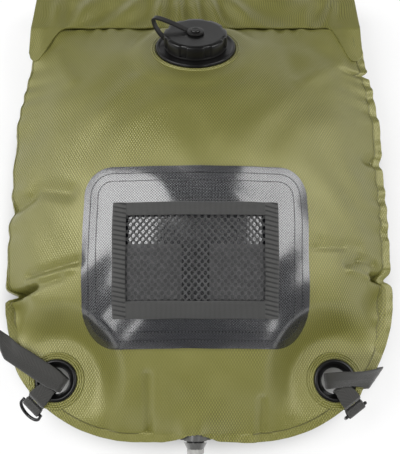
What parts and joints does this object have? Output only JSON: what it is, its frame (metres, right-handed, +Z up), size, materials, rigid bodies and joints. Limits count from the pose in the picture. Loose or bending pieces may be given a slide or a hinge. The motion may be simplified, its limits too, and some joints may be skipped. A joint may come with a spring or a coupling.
{
  "type": "camp shower bag",
  "caption": "Filled water bag for camp showers, with a hanging sleeve, screw filler, mesh pocket, corner rings and a bottom outlet.",
  "frame": {"origin": "point on the ground under the middle of the bag, which lies on its back", "axes": "+Z up, out of the bag's front; +Y towards the header sleeve; +X to the right of the front"},
  "size_m": [0.4023, 0.5091, 0.1478],
  "materials": {
    "coated_fabric": "satin coated weave",
    "gloss_sheet": "glossy",
    "pocket_lining": "matt",
    "pocket_net": "matt",
    "pocket_binding": "ribbed",
    "black_moulding": "satin",
    "seal_rubber": "matt",
    "tether_rubber": "satin",
    "webbing": "woven webbing",
    "ring_wire": "gloss black",
    "clear_plug": "translucent"
  },
  "bodies": {
    "bag": {"front_panel": "coated_fabric", "back_panel": "coated_fabric", "header_sleeve": "coated_fabric", "front_patch": "gloss_sheet", "inner_pocket_left": "pocket_lining", "inner_pocket_right": "pocket_lining", "pocket_mesh": "pocket_net", "pocket_top_binding": "pocket_binding", "pocket_bottom_binding": "pocket_binding", "pocket_left_binding": "pocket_binding", "pocket_right_binding": "pocket_binding", "filler_neck": "black_moulding", "tether_strap": "tether_rubber", "tether_collar": "tether_rubber", "left_eyelet": "black_moulding", "right_eyelet": "black_moulding", "left_eyelet_washer": "black_moulding", "right_eyelet_washer": "black_moulding", "left_corner_loop": "webbing", "right_corner_loop": "webbing", "left_tab_anchor": "webbing", "right_tab_anchor": "webbing", "outlet_spout": "black_moulding", "outlet_washer": "seal_rubber"},
    "tether_carrier": {"tether_eye": "tether_rubber"},
    "cap": {"filler_cap": "black_moulding", "cap_gasket": "seal_rubber", "cap_button": "black_moulding"},
    "outlet_collar": {"outlet_nut": "black_moulding"},
    "outlet_tip": {"outlet_plug": "clear_plug"},
    "left_tail": {"left_tab": "webbing"},
    "left_ring": {"left_d_ring": "ring_wire"},
    "right_tail": {"right_tab": "webbing"},
    "right_ring": {"right_d_ring": "ring_wire"}
  },
  "joints": [
    {"name": "cap_lift", "type": "slide", "parent": "bag", "child": "tether_carrier", "axis": [0, 0.515, 0.8572], "range_m": [0, 0.0056], "deforming": ["tether_strap"]},
    {"name": "cap_turn", "type": "hinge", "parent": "tether_carrier", "child": "cap", "pos_m": [0, 0.171, 0.08906], "axis": [0, 0.515, 0.8572], "range_deg": [0, 504]},
    {"name": "outlet_collar_turn", "type": "hinge", "parent": "bag", "child": "outlet_collar", "pos_m": [0, -0.2245, 0.048], "axis": [0, -1, 0], "range_deg": [0, 360]},
    {"name": "outlet_tip_pull", "type": "slide", "parent": "bag", "child": "outlet_tip", "axis": [0, -1, 0], "range_m": [0, 0.006]},
    {"name": "left_tail_swing", "type": "hinge", "parent": "bag", "child": "left_tail", "pos_m": [-0.15455, -0.18839, 0.04881], "axis": [0.7314, -0.682, 0], "range_deg": [-75, 5]},
    {"name": "left_ring_swing", "type": "hinge", "parent": "left_tail", "child": "left_ring", "pos_m": [-0.15962, -0.19383, 0.04257], "axis": [0.7314, -0.682, 0], "range_deg": [-110, 110]},
    {"name": "right_tail_swing", "type": "hinge", "parent": "bag", "child": "right_tail", "pos_m": [0.15199, -0.19051, 0.04881], "axis": [0.809, 0.5878, 0], "range_deg": [-75, 5]},
    {"name": "right_ring_swing", "type": "hinge", "parent": "right_tail", "child": "right_ring", "pos_m": [0.15636, -0.19652, 0.04257], "axis": [0.809, 0.5878, 0], "range_deg": [-150, 70]}
  ],
  "couplings": [
    {"joint": "cap_lift", "follows": "cap_turn", "m_per_rad": 0.00063662}
  ]
}
